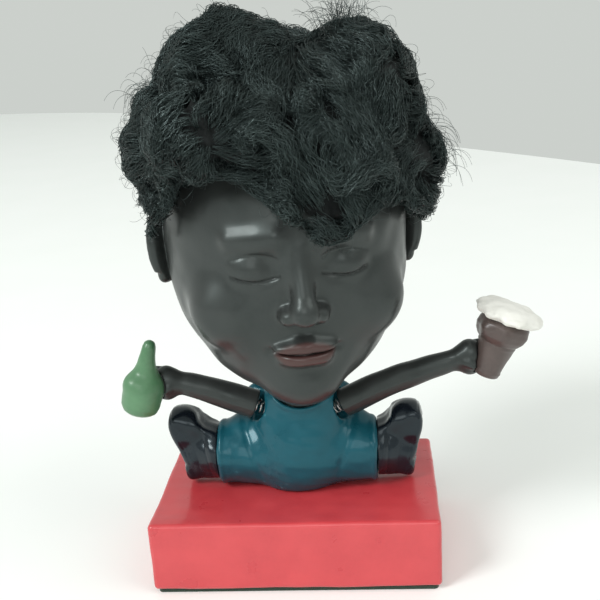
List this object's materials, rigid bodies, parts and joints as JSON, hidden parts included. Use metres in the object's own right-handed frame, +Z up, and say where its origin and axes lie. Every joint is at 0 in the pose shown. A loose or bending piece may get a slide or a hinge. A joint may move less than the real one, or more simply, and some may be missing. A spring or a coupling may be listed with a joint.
{
  "type": "bobble head figure",
  "caption": "Seated bobble figure on a plinth, with a sprung curly-haired head, and sprung arms that hold up a bottle and a foaming mug.",
  "frame": {"origin": "centre of the felt pad's underside, on the surface that the plinth stands on", "axes": "+Z up through the figure, -Y is the way the plinth's front and the figure face, +X is towards the figure's left hand, which holds the mug"},
  "size_m": [0.1314, 0.0928, 0.174],
  "materials": {
    "plinth_paint": "gloss",
    "bottom_plate": "matte",
    "felt": "matte",
    "steel": "satin",
    "garment_paint": "gloss",
    "skin_paint": "satin",
    "shoe_paint": "gloss",
    "bottle_paint": "satin",
    "mug_paint": "satin",
    "foam_paint": "matte",
    "bar": "matte",
    "plug": "matte",
    "wig_net": "matte",
    "wig_hair": "satin"
  },
  "bodies": {
    "base": {"plinth": "plinth_paint", "plinth_bottom_plate": "bottom_plate", "felt_pad": "felt", "body_screw_right": "steel", "body_screw_left": "steel", "body": "garment_paint", "neck": "skin_paint", "right_shoe": "shoe_paint", "left_shoe": "shoe_paint"},
    "neck_lower": {"neck_spring_lower_coils": "steel"},
    "neck_middle": {"neck_spring_middle_coils": "steel"},
    "neck_upper": {"neck_spring_upper_coils": "steel"},
    "head": {"spring_plug": "plug", "spring_bar": "bar", "head_shell": "skin_paint", "wig_cap": "wig_net", "wig_curls": "wig_hair"},
    "right_shoulder": {"right_arm_spring": "steel"},
    "right_arm": {"right_arm": "skin_paint", "bottle": "bottle_paint"},
    "left_shoulder": {"left_arm_spring": "steel"},
    "left_arm": {"left_arm": "skin_paint", "mug": "mug_paint", "mug_foam": "foam_paint"}
  },
  "joints": [
    {"name": "head_bounce", "type": "slide", "parent": "base", "child": "neck_lower", "axis": [0, 0, 1], "range_m": [-0.0025, 0.0025], "stiffness_N_per_m": 900, "springref_m": 0.00147, "deforming": ["neck_spring_lower_coils"]},
    {"name": "head_nod", "type": "hinge", "parent": "neck_lower", "child": "neck_middle", "pos_m": [0.002, 0, 0.0695], "axis": [1, 0, 0], "range_deg": [-8, 8], "stiffness_Nm_per_rad": 0.18, "springref_deg": 0.25, "deforming": ["neck_spring_middle_coils"]},
    {"name": "head_sway", "type": "hinge", "parent": "neck_middle", "child": "neck_upper", "pos_m": [0.002, 0, 0.0765], "axis": [0, 1, 0], "range_deg": [-7, 7], "stiffness_Nm_per_rad": 0.18, "springref_deg": 0.22, "deforming": ["neck_spring_upper_coils"]},
    {"name": "head_twist", "type": "hinge", "parent": "neck_upper", "child": "head", "pos_m": [0.002, 0, 0.081], "axis": [0, 0, 1], "range_deg": [-15, 15], "stiffness_Nm_per_rad": 0.05},
    {"name": "right_arm_lift", "type": "hinge", "parent": "base", "child": "right_shoulder", "pos_m": [-0.01165, -0.00293, 0.05195], "axis": [0, 1, 0], "range_deg": [-4, 5], "stiffness_Nm_per_rad": 0.03, "springref_deg": 1.74, "deforming": ["right_arm_spring"]},
    {"name": "right_arm_sweep", "type": "hinge", "parent": "right_shoulder", "child": "right_arm", "pos_m": [-0.01165, -0.00293, 0.05195], "axis": [0, 0, 1], "range_deg": [-6, 6], "stiffness_Nm_per_rad": 0.03},
    {"name": "left_arm_lift", "type": "hinge", "parent": "base", "child": "left_shoulder", "pos_m": [0.01567, -0.00294, 0.05152], "axis": [0, -1, 0], "range_deg": [-4, 5], "stiffness_Nm_per_rad": 0.03, "springref_deg": 4.78, "deforming": ["left_arm_spring"]},
    {"name": "left_arm_sweep", "type": "hinge", "parent": "left_shoulder", "child": "left_arm", "pos_m": [0.01567, -0.00294, 0.05152], "axis": [0, 0, -1], "range_deg": [-6, 6], "stiffness_Nm_per_rad": 0.03}
  ]
}
